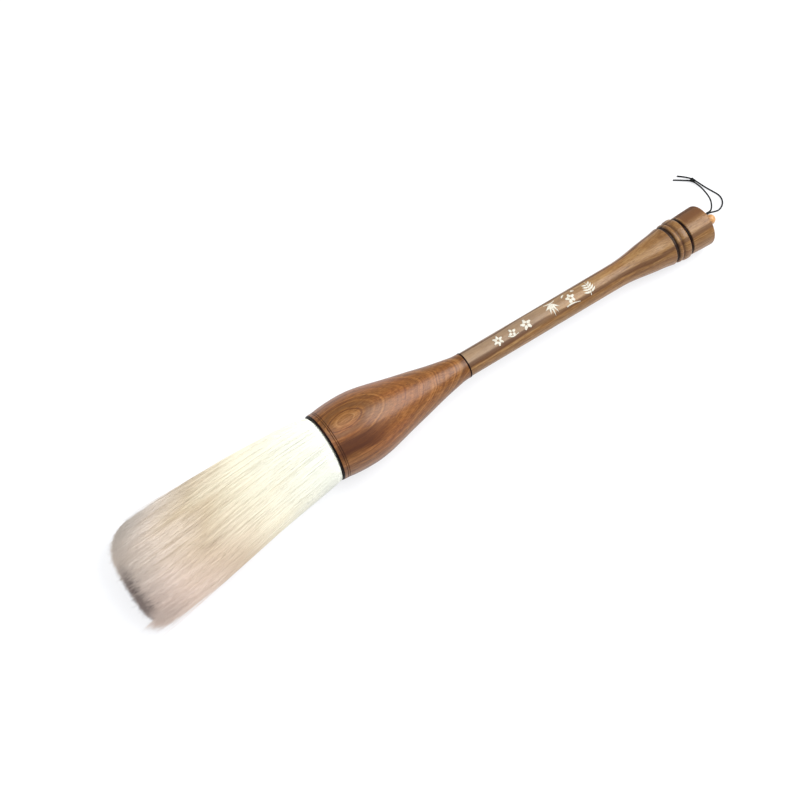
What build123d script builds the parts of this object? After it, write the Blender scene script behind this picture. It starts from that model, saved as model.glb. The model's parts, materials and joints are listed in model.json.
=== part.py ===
from build123d import *
import math
import os

os.makedirs("parts", exist_ok=True)

# A large hopper brush lying on a table (Z 0), hair toward -X, hanging knob toward +X.
# "Station" is the distance along the brush axis from the mouth of the bulb, in mm:
# positive toward the knob, negative out into the hair.

# ---- driving dimensions ----
MOUTH_R = 20.9           # outer radius of the lip ring
BULB_R = 22.42           # widest radius of the bulb
BULB_STATION = 18.5      # where the bulb is widest
JOINT_STATION = 97.3     # rear end of the bulb
JOINT_R = 7.95           # radius of the bulb at its rear end
SHAFT_R = 7.7            # radius of the shaft
FLARE_STATION = 249.4    # rear edge of the flare
FLARE_R = 12.4           # radius of the flare at its rear edge
CAP_START = 262.0        # front face of the end cap
CAP_END = 278.8          # rear face of the end cap
CAP_R = 13.3             # widest radius of the cap
CAP_WIDE_STATION = 277.0  # where the cap is widest
KNOB_STATION = 285.4     # centre of the ball of the knob
KNOB_R = 3.3             # radius of the ball
NECK_R = 1.5             # radius of the neck between cap and ball
HAIR_REACH = 136.0       # how far the hair reaches past the mouth
CORD_D = 1.0             # diameter of the hanging cord
BORE_R = 18.7            # bore of the bulb that the hair is set in
BORE_DEPTH = 34.0        # straight part of that bore
FIT = 0.1                # gap of a glued seat, on the radius
LIFT = 0.085             # brings the lowest wood, just behind the widest place, to Z 0

# ---- the lie of the brush: bulb and cap both touch the table ----
TILT = math.asin((BULB_R - CAP_R) / (CAP_WIDE_STATION - BULB_STATION))
MOUTH_Z = BULB_R / math.cos(TILT) + BULB_STATION * math.sin(TILT) + LIFT
KNOB_REACH = KNOB_STATION * math.cos(TILT) + KNOB_R
MOUTH_X = (HAIR_REACH - KNOB_REACH) / 2
MOUTH = Vector(MOUTH_X, 0, MOUTH_Z)
ALONG = Vector(math.cos(TILT), 0, -math.sin(TILT))
ACROSS = Vector(math.sin(TILT), 0, math.cos(TILT))
TURNING = Axis(MOUTH, ALONG)
# the turning plane: its X is the station, its Y the radius
PROFILE = Plane(origin=MOUTH, x_dir=ALONG, z_dir=(0, -1, 0))


def on_axis(station):
    """The point of the brush axis at a station."""
    return MOUTH + ALONG * station


# ---- lip ring: horn, with a tongue rabbeted into the bulb ----
LIP_W = 0.9
TONGUE_W = 1.5
TONGUE_R = 19.7
with BuildPart() as lip_ring:
    with BuildSketch(PROFILE):
        with BuildLine():
            Polyline(
                (0.0, BORE_R), (0.0, MOUTH_R - 0.3), (0.3, MOUTH_R), (LIP_W, MOUTH_R),
                (LIP_W, TONGUE_R), (LIP_W + TONGUE_W, TONGUE_R), (LIP_W + TONGUE_W, BORE_R),
                close=True,
            )
        make_face()
    revolve(axis=TURNING)

# ---- bulb ----
GROOVE_W = 0.5
GROOVE_DEPTH = 0.3
GROOVE_1 = 3.0
GROOVE_2 = 4.1
BAND_R = 21.2            # radius of the band that the double groove is cut in
SHOULDER = 5.0           # where the swell of the bulb starts
SOCKET_R = 5.5           # socket of the shaft's tenon
SOCKET_DEPTH = 21.0
CUP_END_R = 12.0
CUP_END = 38.5
with BuildPart() as hopper:
    with BuildSketch(PROFILE):
        with BuildLine():
            swell = Spline(
                (SHOULDER, BAND_R + 0.12), (11.0, 22.05), (BULB_STATION, BULB_R), (27.0, 22.1),
                (36.0, 20.65), (50.6, 17.2), (65.0, 14.0), (80.0, 10.6), (90.0, 8.72),
                (JOINT_STATION, JOINT_R),
                tangents=((1.0, 0.2), (1.0, -0.04)),
            )
            Polyline(
                swell @ 1, (JOINT_STATION, SOCKET_R), (JOINT_STATION - SOCKET_DEPTH, SOCKET_R),
                (JOINT_STATION - SOCKET_DEPTH - 3.0, 0.0), (CUP_END + 2.0, 0.0),
                (CUP_END, CUP_END_R), (BORE_DEPTH, BORE_R), (LIP_W + TONGUE_W, BORE_R),
                (LIP_W + TONGUE_W, TONGUE_R), (LIP_W, TONGUE_R), (LIP_W, BAND_R - 0.15),
                (GROOVE_1 - GROOVE_W / 2, BAND_R), (GROOVE_1, BAND_R - GROOVE_DEPTH),
                (GROOVE_1 + GROOVE_W / 2, BAND_R), (GROOVE_2 - GROOVE_W / 2, BAND_R),
                (GROOVE_2, BAND_R - GROOVE_DEPTH), (GROOVE_2 + GROOVE_W / 2, BAND_R + 0.02),
                swell @ 0,
            )
        make_face()
    revolve(axis=TURNING)

# ---- thin spacer between bulb and shaft ----
JOINT_W = 0.9
with BuildPart() as joint_ring:
    with BuildSketch(PROFILE):
        with BuildLine():
            Polyline(
                (JOINT_STATION, SOCKET_R), (JOINT_STATION, JOINT_R + 0.1),
                (JOINT_STATION + JOINT_W, JOINT_R + 0.1), (JOINT_STATION + JOINT_W, SOCKET_R),
                close=True,
            )
        make_face()
    revolve(axis=TURNING)

# ---- shaft: front tenon, long body, flare, two beads, rear socket ----
TENON_GAP = 0.6          # left free at the bottom of a socket for glue
BEAD_1 = (251.5, 254.1)
BEAD_1_R = 12.9
BEAD_2 = (255.1, 260.0)
BEAD_2_R = 13.5
BEAD_GROOVE_R = 11.3
SLIM_GROOVE_R = 12.3
RING_W = CAP_START - BEAD_2[1]
CAP_TENON_R = 6.0
CAP_TENON_LEN = 16.0
SHAFT_FRONT = JOINT_STATION + JOINT_W
with BuildPart() as handle_shaft:
    with BuildSketch(PROFILE):
        with BuildLine():
            Polyline(
                (JOINT_STATION - SOCKET_DEPTH + TENON_GAP, 0.0),
                (JOINT_STATION - SOCKET_DEPTH + TENON_GAP, SOCKET_R - FIT - 0.6),
                (JOINT_STATION - SOCKET_DEPTH + TENON_GAP + 0.6, SOCKET_R - FIT),
                (SHAFT_FRONT, SOCKET_R - FIT), (SHAFT_FRONT, SHAFT_R - 0.15),
                (SHAFT_FRONT + 0.15, SHAFT_R), (205.0, SHAFT_R + 0.05),
            )
            flare = Spline(
                (205.0, SHAFT_R + 0.05), (213.0, 7.85), (221.0, 8.5), (229.0, 9.65),
                (237.0, 10.75), (244.0, 11.6), (FLARE_STATION - 1.0, FLARE_R),
                tangents=((1.0, 0.005), (1.0, 0.16)),
            )
            RadiusArc(flare @ 1, (FLARE_STATION, FLARE_R - 0.6), 0.9)
            Polyline(
                (FLARE_STATION, FLARE_R - 0.6), (FLARE_STATION + 0.3, BEAD_GROOVE_R),
                (BEAD_1[0] - 0.3, BEAD_GROOVE_R), (BEAD_1[0], BEAD_1_R - 0.9),
            )
            ThreePointArc(
                (BEAD_1[0], BEAD_1_R - 0.9), ((BEAD_1[0] + BEAD_1[1]) / 2, BEAD_1_R),
                (BEAD_1[1], SLIM_GROOVE_R),
            )
            Line((BEAD_1[1], SLIM_GROOVE_R), (BEAD_2[0], SLIM_GROOVE_R))
            Spline(
                (BEAD_2[0], SLIM_GROOVE_R), (BEAD_2[0] + 0.7, BEAD_2_R - 0.45),
                (BEAD_2[0] + 3.0, BEAD_2_R), (BEAD_2[1] - 0.4, BEAD_2_R - 0.2),
                (BEAD_2[1], BEAD_2_R - 0.8),
            )
            Polyline(
                (BEAD_2[1], BEAD_2_R - 0.8), (BEAD_2[1], CAP_TENON_R),
                (CAP_START - CAP_TENON_LEN - TENON_GAP, CAP_TENON_R),
                (CAP_START - CAP_TENON_LEN - TENON_GAP - 2.0, 0.0),
                (JOINT_STATION - SOCKET_DEPTH + TENON_GAP, 0.0),
            )
        make_face()
    revolve(axis=TURNING)

# ---- filled marks: six small motifs along the top of the shaft, painted a hair proud ----
MARK_FACE = SHAFT_R + 0.06
MARK_THICK = 0.08
LARGE_MARK_R = 4.3
SMALL_MARK_R = 3.0
MARKS = [(188.0, LARGE_MARK_R), (174.6, LARGE_MARK_R), (161.6, LARGE_MARK_R)]
MARKS += [(141.8, SMALL_MARK_R), (131.6, SMALL_MARK_R), (121.4, SMALL_MARK_R)]
with BuildPart() as filled_marks:
    for station, radius in MARKS:
        with BuildSketch(Plane(origin=on_axis(station), x_dir=ALONG, z_dir=ACROSS)):
            Circle(radius)
    extrude(amount=SHAFT_R * 2)
    with BuildSketch(PROFILE):
        with Locations(((MARKS[0][0] + MARKS[-1][0]) / 2, MARK_FACE + MARK_THICK / 2)):
            Rectangle(MARKS[0][0] - MARKS[-1][0] + 4 * LARGE_MARK_R, MARK_THICK)
    revolve(axis=TURNING, mode=Mode.INTERSECT)

# ---- black ring between the second bead and the cap ----
CAP_RING_R = 12.0
with BuildPart() as cap_ring:
    with BuildSketch(PROFILE):
        with BuildLine():
            side = Polyline(
                (CAP_START, CAP_RING_R), (CAP_START, CAP_TENON_R), (BEAD_2[1], CAP_TENON_R),
                (BEAD_2[1], CAP_RING_R),
            )
            ThreePointArc(
                side @ 1, ((BEAD_2[1] + CAP_START) / 2, CAP_RING_R + 0.35), side @ 0
            )
        make_face()
    revolve(axis=TURNING)

# ---- end cap: tenon in front, barrel, rounded rear edge, hole for the knob's stem ----
CAP_EDGE = CAP_END - CAP_WIDE_STATION    # rounding of the rear edge
STEM_R = 2.0
STEM_LEN = 9.0
with BuildPart() as end_cap:
    with BuildSketch(PROFILE):
        with BuildLine():
            Polyline(
                (CAP_START - CAP_TENON_LEN, 0.0), (CAP_START - CAP_TENON_LEN, CAP_TENON_R - 0.7),
                (CAP_START - CAP_TENON_LEN + 0.6, CAP_TENON_R - FIT),
                (CAP_START, CAP_TENON_R - FIT), (CAP_START, 12.2), (CAP_START + 0.45, 12.65),
            )
            barrel = ThreePointArc(
                (CAP_START + 0.45, 12.65), (CAP_START + 8.0, 13.05), (CAP_WIDE_STATION, CAP_R)
            )
            RadiusArc(barrel @ 1, (CAP_END, CAP_R - CAP_EDGE), CAP_EDGE)
            Polyline(
                (CAP_END, CAP_R - CAP_EDGE), (CAP_END, STEM_R),
                (CAP_END - STEM_LEN - TENON_GAP, STEM_R),
                (CAP_END - STEM_LEN - TENON_GAP - 1.0, 0.0), (CAP_START - CAP_TENON_LEN, 0.0),
            )
        make_face()
    revolve(axis=TURNING)

# ---- knob: stem in the cap, neck that the cord turns round, ball ----
NECK_END = KNOB_STATION - math.sqrt(KNOB_R**2 - NECK_R**2)
with BuildPart() as hanging_knob:
    with BuildSketch(PROFILE):
        with BuildLine():
            Polyline(
                (KNOB_STATION + KNOB_R, 0.0), (CAP_END - STEM_LEN, 0.0),
                (CAP_END - STEM_LEN, STEM_R - 0.5), (CAP_END - STEM_LEN + 0.4, STEM_R - FIT),
                (CAP_END - 0.05, STEM_R - FIT), (CAP_END - 0.05, NECK_R),
                (NECK_END, NECK_R),
            )
            ThreePointArc(
                (NECK_END, NECK_R), (KNOB_STATION, KNOB_R), (KNOB_STATION + KNOB_R, 0.0)
            )
        make_face()
    revolve(axis=TURNING)

# ---- butt of the hair, its collar, binding and resin ----
SWAY_STATION = -16.0     # centre that the free hair sways about
DOME_R = 18.3            # round root of the free hair, seated in the collar
CUP_R = 18.6
SWAY_MAX = 25.0          # degrees each way
COLLAR_END = SWAY_STATION + DOME_R * math.sin(math.radians(SWAY_MAX)) + 0.9
ROOT_R = BORE_R - FIT
ROOT_END = 30.0
BIND = (19.0, 27.4)      # where the thread is wound
BIND_TURNS = 6
BIND_DEPTH = 1.0
CUP_EDGE_R = math.sqrt(CUP_R**2 - (COLLAR_END - SWAY_STATION) ** 2)
with BuildPart() as hair_root:
    with BuildSketch(PROFILE):
        with BuildLine():
            Polyline(
                (COLLAR_END, CUP_EDGE_R), (COLLAR_END, ROOT_R), (BIND[0], ROOT_R),
                (BIND[0], ROOT_R - BIND_DEPTH), (BIND[1], ROOT_R - BIND_DEPTH),
                (BIND[1], ROOT_R), (ROOT_END, ROOT_R), (ROOT_END, 0.0),
                (SWAY_STATION + CUP_R, 0.0),
            )
            half_cup = math.atan2(CUP_EDGE_R, COLLAR_END - SWAY_STATION) / 2
            ThreePointArc(
                (SWAY_STATION + CUP_R, 0.0),
                (SWAY_STATION + CUP_R * math.cos(half_cup), CUP_R * math.sin(half_cup)),
                (COLLAR_END, CUP_EDGE_R),
            )
        make_face()
    revolve(axis=TURNING)

with BuildPart() as root_binding:
    turn = (BIND[1] - BIND[0]) / BIND_TURNS
    with BuildSketch(PROFILE):
        with BuildLine():
            for k in range(BIND_TURNS):
                ThreePointArc(
                    (BIND[0] + k * turn, ROOT_R - 0.4),
                    (BIND[0] + (k + 0.5) * turn, ROOT_R - 0.02),
                    (BIND[0] + (k + 1) * turn, ROOT_R - 0.4),
                )
            Polyline(
                (BIND[1], ROOT_R - 0.4), (BIND[1], ROOT_R - BIND_DEPTH),
                (BIND[0], ROOT_R - BIND_DEPTH), (BIND[0], ROOT_R - 0.4),
            )
        make_face()
    revolve(axis=TURNING)

with BuildPart() as root_plug:
    with BuildSketch(PROFILE):
        with BuildLine():
            Polyline(
                (ROOT_END, 0.0), (ROOT_END, ROOT_R), (BORE_DEPTH - 0.1, ROOT_R),
                (CUP_END - 0.2, CUP_END_R), (CUP_END + 1.6, 0.0),
                close=True,
            )
        make_face()
    revolve(axis=TURNING)

# ---- free hair: round at its root, sagging and spreading flat toward its end ----
SWAY = on_axis(SWAY_STATION)
HAIR_END_X = MOUTH_X - HAIR_REACH
# each section: distance past the mouth, half width, half height, height of its centre
HAIR_SECTIONS = [
    (30.0, 24.6, 18.0, 21.0),
    (50.0, 27.4, 15.6, 16.4),
    (72.0, 29.8, 12.4, 11.8),
    (95.0, 31.3, 10.0, 9.0),
    (118.0, 31.7, 8.6, 7.6),
    (HAIR_REACH, 31.0, 7.6, 6.7),
]
CORE = 0.58              # the core hair's share of each section
with BuildPart() as tuft_core:
    with BuildSketch(Plane(origin=SWAY, x_dir=(0, 1, 0), z_dir=(-1, 0, 0))):
        Circle(DOME_R * CORE)
    for past, wide, high, mid in HAIR_SECTIONS:
        place = Plane(origin=(MOUTH_X - past, 0, mid), x_dir=(0, 1, 0), z_dir=(-1, 0, 0))
        with BuildSketch(place):
            Ellipse(wide * CORE, high * CORE)
    loft()

with BuildPart() as tuft_cover:
    with BuildSketch(Plane(origin=SWAY, x_dir=(0, 1, 0), z_dir=(-1, 0, 0))):
        Circle(DOME_R)
    for past, wide, high, mid in HAIR_SECTIONS:
        place = Plane(origin=(MOUTH_X - past, 0, mid), x_dir=(0, 1, 0), z_dir=(-1, 0, 0))
        with BuildSketch(place):
            Ellipse(wide, high)
    loft()
    add(tuft_core.part, mode=Mode.SUBTRACT)
    dome = Plane(origin=SWAY, x_dir=(1, 0, 0), z_dir=(0, -1, 0))
    with BuildSketch(dome):
        with BuildLine():
            quarter = CenterArc((0, 0), DOME_R, 0, 90)
            Polyline(quarter @ 1, (0, 0), quarter @ 0)
        make_face()
    revolve(axis=Axis(SWAY, (1, 0, 0)))
    split(bisect_by=Plane.XY, keep=Keep.TOP)

# ---- hanging cord: half a turn round the neck, two strands, a knot and two bare tails ----
TURN_STATION = CAP_END + 3.0
TURN_R = NECK_R + CORD_D / 2 + 0.08
TURN = on_axis(TURN_STATION)
UPPER = TURN + ACROSS * TURN_R
LOWER = TURN - ACROSS * TURN_R
FLOOR = CORD_D / 2 + 0.05
with BuildPart() as cord_neck_turn:
    with BuildSketch(Plane(origin=TURN, x_dir=ALONG, z_dir=(0, -1, 0))):
        with Locations((0, TURN_R)):
            Circle(CORD_D / 2)
    revolve(axis=Axis(TURN, ALONG), revolution_arc=180)


def route(start, points):
    """The cord's points: the start, then hand-set points given from the mouth of the bulb."""
    return [start] + [Vector(MOUTH_X + x, y, z) for x, y, z in points]


LEFT_ROUTE = route(
    UPPER,
    [
        (281.7, 2.4, 15.3),
        (284.2, 4.3, 15.0),
        (289.3, 4.5, 13.4),
        (293.8, 8.2, 10.5),
        (298.4, 14.0, 7.0),
        (301.4, 22.4, 3.0),
        (302.0, 28.6, 1.2),
        (300.5, 33.4, 1.5),
        (296.9, 36.8, 0.9),
        (294.0, 39.2, FLOOR),
        (291.1, 41.2, FLOOR),
    ],
)
RIGHT_ROUTE = route(
    LOWER,
    [
        (281.6, 2.6, 11.15),
        (284.2, 4.7, 10.6),
        (289.2, 5.4, 10.4),
        (294.0, 4.8, 8.3),
        (298.8, 5.4, 5.0),
        (304.2, 8.0, 2.0),
        (307.6, 11.4, 0.8),
        (308.6, 15.6, FLOOR),
        (307.0, 20.0, FLOOR),
        (305.2, 24.4, 0.6),
        (303.4, 29.4, 1.0),
        (301.6, 34.5, 1.5),
        (298.6, 38.9, 0.9),
        (295.0, 42.2, FLOOR),
    ],
)


def bend_radii(points, name):
    """As large as the two runs at each corner allow, printed for the maker."""
    radii = []
    for before, here, after in zip(points, points[1:], points[2:]):
        turn_angle = math.radians((here - before).get_angle(after - here))
        shorter = min((here - before).length, (after - here).length)
        radii.append(0.45 * shorter / math.tan(turn_angle / 2))
    print(name, "bend radii", [round(r, 1) for r in radii])
    return radii


LEFT_RADII = bend_radii(LEFT_ROUTE, "left strand")
RIGHT_RADII = bend_radii(RIGHT_ROUTE, "right strand")
with BuildPart() as hang_cord_left:
    with BuildLine() as left_path:
        FilletPolyline(*LEFT_ROUTE, radius=LEFT_RADII)
    with BuildSketch(Plane(origin=LEFT_ROUTE[0], z_dir=left_path.line % 0)):
        Circle(CORD_D / 2)
    sweep()

with BuildPart() as hang_cord_right:
    with BuildLine() as right_path:
        FilletPolyline(*RIGHT_ROUTE, radius=RIGHT_RADII)
    with BuildSketch(Plane(origin=RIGHT_ROUTE[0], z_dir=right_path.line % 0)):
        Circle(CORD_D / 2)
    sweep()

KNOT_HALF = 2.1
KNOT_R = 1.45
KNOT_AT = Vector(MOUTH_X + 301.05, 33.85, KNOT_R + 0.02)
KNOT_ALONG = Vector(-0.62, 0.78, 0).normalized()
with BuildPart() as cord_knot:
    with BuildSketch(Plane(origin=KNOT_AT, x_dir=KNOT_ALONG, z_dir=(0, 0, 1))):
        with BuildLine():
            crown = EllipticalCenterArc((0, 0), KNOT_HALF, KNOT_R, start_angle=0, arc_size=180)
            Line(crown @ 1, crown @ 0)
        make_face()
    revolve(axis=Axis(KNOT_AT, KNOT_ALONG))

# ---- labels and files ----
PIECES = {
    "hopper": hopper,
    "lip_ring": lip_ring,
    "joint_ring": joint_ring,
    "handle_shaft": handle_shaft,
    "filled_marks": filled_marks,
    "cap_ring": cap_ring,
    "end_cap": end_cap,
    "hanging_knob": hanging_knob,
    "hair_root": hair_root,
    "root_binding": root_binding,
    "root_plug": root_plug,
    "tuft_cover": tuft_cover,
    "tuft_core": tuft_core,
    "cord_neck_turn": cord_neck_turn,
    "hang_cord_left": hang_cord_left,
    "hang_cord_right": hang_cord_right,
    "cord_knot": cord_knot,
}
for name, piece in PIECES.items():
    piece.part.label = name
    export_step(piece.part, f"parts/{name}.step")
    box = piece.part.bounding_box()
    print(f"{name}: lowest {box.min.Z:.3f}, from X {box.min.X:.2f} to {box.max.X:.2f}")
for name, piece, path in (
    ("left", hang_cord_left, left_path),
    ("right", hang_cord_right, right_path),
):
    length = sum(edge.length for edge in path.line.edges())
    full = math.pi * CORD_D**2 / 4 * length
    print(f"{name} strand: {length:.1f} mm, volume {piece.part.volume:.2f} of {full:.2f} mm3")
print("tilt", round(math.degrees(TILT), 3), "mouth at", MOUTH_X, MOUTH_Z)
print("sway centre", SWAY, "neck turn", TURN)
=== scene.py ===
# %% [markdown]
# # A large hopper brush, lying on a table
# This lesson dresses a brush whose wooden parts, rings, knob and joints already exist as a packed
# model. The turned wood keeps its CAD shape and gets a finish. The hair, the painted marks, the
# cord and its knot are new surfaces. Each one is a formula worked out for whole arrays at once,
# so that a change of one number reshapes the piece. Everything is in metres, in the model's frame.

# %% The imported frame
import json
import math

import bpy
import numpy as np
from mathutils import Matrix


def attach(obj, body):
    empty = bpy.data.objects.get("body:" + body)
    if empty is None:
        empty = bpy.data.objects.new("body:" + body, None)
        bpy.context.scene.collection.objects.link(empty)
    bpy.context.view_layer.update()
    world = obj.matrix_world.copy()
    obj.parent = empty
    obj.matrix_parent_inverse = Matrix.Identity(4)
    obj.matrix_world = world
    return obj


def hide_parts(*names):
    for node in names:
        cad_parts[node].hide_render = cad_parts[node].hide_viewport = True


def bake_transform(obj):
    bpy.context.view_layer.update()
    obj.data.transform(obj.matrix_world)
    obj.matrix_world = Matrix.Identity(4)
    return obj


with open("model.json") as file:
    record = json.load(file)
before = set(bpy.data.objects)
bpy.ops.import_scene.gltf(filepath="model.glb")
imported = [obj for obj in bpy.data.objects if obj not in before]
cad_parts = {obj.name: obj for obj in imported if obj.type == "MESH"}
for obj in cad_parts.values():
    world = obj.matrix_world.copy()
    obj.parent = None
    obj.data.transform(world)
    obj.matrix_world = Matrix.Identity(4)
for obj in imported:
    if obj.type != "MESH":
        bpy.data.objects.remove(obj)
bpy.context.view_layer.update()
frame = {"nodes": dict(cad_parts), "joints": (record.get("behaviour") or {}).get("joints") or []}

# %% [markdown]
# ## The brush's own axis
# The brush lies with its bulb and its cap on the table, so its axis is not level. Every place on
# it is given as a station, the distance from the mouth of the bulb, positive toward the knob.
# The swivel joint of the cord stands on that axis, so the axis is read from it, not typed again.

# %% Stations along the axis
MM = 0.001
joint_of = {joint["name"]: joint for joint in frame["joints"]}
TURN = np.array(joint_of["loop_swivel"]["pos_m"])
ALONG = np.array(joint_of["loop_swivel"]["axis"])
ALONG = ALONG / np.linalg.norm(ALONG)
SIDE = np.array([0.0, 1.0, 0.0])
UP = np.cross(ALONG, SIDE)
TURN_STATION = 281.8 * MM
MOUTH = TURN - TURN_STATION * ALONG


def on_brush(station, radius, angle):
    """Point at a station, a radius from the axis and an angle from the top toward +Y.

    Place = mouth + station x along + radius x (cos(angle) x up + sin(angle) x side).
    """
    station, radius, angle = np.broadcast_arrays(station, radius, angle)
    out = np.cos(angle)[..., None] * UP + np.sin(angle)[..., None] * SIDE
    return MOUTH + station[..., None] * ALONG + radius[..., None] * out


print("mouth of the bulb at", np.round(MOUTH, 4))

# %% [markdown]
# ## Camera
# A camera is three decisions: what it looks at, from which side and height, and how long its lens
# is. Here it looks down steeply from the hair end, with a medium long lens, so the hair end is
# a little nearer and larger than the knob.

# %% The camera
AIM = np.array([-0.01705, 0.01018, 0.0])
AZIMUTH = math.radians(34.01)
ELEVATION = math.radians(64.78)
DISTANCE = 0.8952
camera = bpy.data.objects.new("camera", bpy.data.cameras.new("camera"))
bpy.context.scene.collection.objects.link(camera)
backward = np.array([-math.sin(AZIMUTH) * math.cos(ELEVATION),
                     -math.cos(AZIMUTH) * math.cos(ELEVATION),
                     math.sin(ELEVATION)])
camera.location = AIM + DISTANCE * backward
camera.rotation_euler = (math.pi / 2 - ELEVATION, 0.0, -AZIMUTH)
camera.data.sensor_width = 36.0
camera.data.lens = 67.5
camera.data.clip_start = 0.01
bpy.context.scene.camera = camera
print("camera", round(DISTANCE, 3), "m from its aim")

# %% [markdown]
# ## From numbers to a mesh
# A new piece starts as an array of points and a few arrays of faces. Passing whole arrays to
# foreach_set is many times faster than adding faces one by one, which matters for hair. A ring of
# points that turns anticlockwise about the direction of travel gives faces that point outward.


# %% Mesh helpers
def mesh_piece(name, points, face_blocks, uv=None):
    """An object from points (n, 3) and blocks of faces, each block (faces, corners)."""
    mesh = bpy.data.meshes.new(name)
    corners = np.concatenate([block.ravel() for block in face_blocks])
    sizes = np.concatenate([np.full(len(block), block.shape[1]) for block in face_blocks])
    starts = np.concatenate([[0], np.cumsum(sizes)[:-1]])
    mesh.vertices.add(len(points))
    mesh.vertices.foreach_set("co", np.ascontiguousarray(points, np.float32).ravel())
    mesh.loops.add(len(corners))
    mesh.loops.foreach_set("vertex_index", corners.astype(np.int32))
    mesh.polygons.add(len(sizes))
    mesh.polygons.foreach_set("loop_start", starts.astype(np.int32))
    mesh.polygons.foreach_set("use_smooth", np.ones(len(sizes), bool))
    if uv is not None:
        layer = mesh.uv_layers.new(name="run")
        layer.data.foreach_set("uv", uv[corners].astype(np.float32).ravel())
    mesh.update()
    mesh.validate()
    piece = bpy.data.objects.new(name, mesh)
    bpy.context.scene.collection.objects.link(piece)
    return piece


print("arrays become meshes")

# %% [markdown]
# ## Rings and tubes
# Cord, hair, paint strokes and the sleeve of the tuft are rings of points joined by quads. A
# bevelled curve could make the round ones, but it can't flatten the section, taper thousands of
# tubes at once or give each its own UV numbers, so the rings are worked out here.


# %% Rings and tubes
def ring_faces(rings, sides, first=0):
    """Quads between neighbouring rings, and one cap at each end, as two kinds of block."""
    i, j = np.meshgrid(np.arange(rings - 1), np.arange(sides), indexing="ij")
    here, there = i * sides, (i + 1) * sides
    turn = (j + 1) % sides
    walls = np.stack([here + j, here + turn, there + turn, there + j], -1).reshape(-1, 4)
    start_cap = np.arange(sides)[::-1][None]
    end_cap = (rings - 1) * sides + np.arange(sides)[None]
    return [walls + first, start_cap + first, end_cap + first]


def tube_points(path, half_a, half_b, guide, sides):
    """Rings of an elliptical section along a path: centre + a cos(t) N + b sin(t) B.

    N is the guide direction made square to the path, B is tangent x N, so N x B = tangent.
    path is (..., stations, 3); half_a and half_b are (..., stations).
    """
    tangent = np.gradient(path, axis=-2)
    tangent /= np.linalg.norm(tangent, axis=-1, keepdims=True)
    normal = guide - (tangent @ guide)[..., None] * tangent
    normal /= np.linalg.norm(normal, axis=-1, keepdims=True)
    other = np.cross(tangent, normal)
    turn = np.arange(sides) * 2 * math.pi / sides
    a = (half_a[..., None] * np.cos(turn))[..., None] * normal[..., None, :]
    b = (half_b[..., None] * np.sin(turn))[..., None] * other[..., None, :]
    return path[..., None, :] + a + b

# %% [markdown]
# ## Between a few sections
# A tuft is round here and flat there. A few sections are enough if the numbers between them run
# smoothly, so cubic pieces join them, as a spline would.


# %% A smooth run through a few values
def through(knots, values, at):
    """A smooth curve through a few values: cubic pieces with the slopes of their neighbours."""
    knots, values = np.asarray(knots, float), np.asarray(values, float)
    slopes = np.gradient(values, knots)
    k = np.clip(np.searchsorted(knots, at, side="right") - 1, 0, len(knots) - 2)
    gap = knots[k + 1] - knots[k]
    t = np.clip((at - knots[k]) / gap, 0.0, 1.0)
    rise = values[k] * (1 + 2 * t) * (1 - t) ** 2 + values[k + 1] * t**2 * (3 - 2 * t)
    return rise + gap * (slopes[k] * t * (1 - t) ** 2 - slopes[k + 1] * t**2 * (1 - t))


print("helpers ready")

# %% [markdown]
# ## Finishes as arithmetic
# A procedural finish is arithmetic on numbers that vary over the surface. Wiring Math nodes by
# hand hides that, so a small class wraps a socket and lets Python's signs add the nodes.


# %% Numbers that vary over a surface
class Value:
    """One varying number of a finish. a + b, 1 - a, a * b and so on each add a Math node."""

    def __init__(self, finish, socket):
        self.finish = finish
        self.socket = socket

    def _with(self, operation, *numbers):
        node = self.finish.node("ShaderNodeMath", {"operation": operation},
                                dict(enumerate(numbers)))
        return Value(self.finish, node.outputs[0])

    def __add__(self, other):
        return self._with("ADD", self, other)

    def __sub__(self, other):
        return self._with("SUBTRACT", self, other)

    def __rsub__(self, other):
        return self._with("SUBTRACT", other, self)

    def __mul__(self, other):
        return self._with("MULTIPLY", self, other)

    def __truediv__(self, other):
        return self._with("DIVIDE", self, other)

    def __pow__(self, other):
        return self._with("POWER", self, other)

    __radd__ = __add__
    __rmul__ = __mul__

    def near(self, centre, half):
        """1 within about half of a centre, 0 farther off, soft between."""
        away = self._with("ABSOLUTE", self - centre)
        return 1.0 - away.smooth(0.6 * half, 1.4 * half)

    def smooth(self, low, high):
        """0 below low, 1 above high, and a soft step between."""
        node = self.finish.node("ShaderNodeMapRange", {"interpolation_type": "SMOOTHSTEP"},
                                {"Value": self, "From Min": low, "From Max": high})
        return Value(self.finish, node.outputs["Result"])


print("numbers ready")

# %% [markdown]
# ## One material
# A finish is a Principled shader with nodes in front of it. This class makes the nodes that come
# up again and again, each in one call, so that a recipe reads as a few lines of formula.


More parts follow.
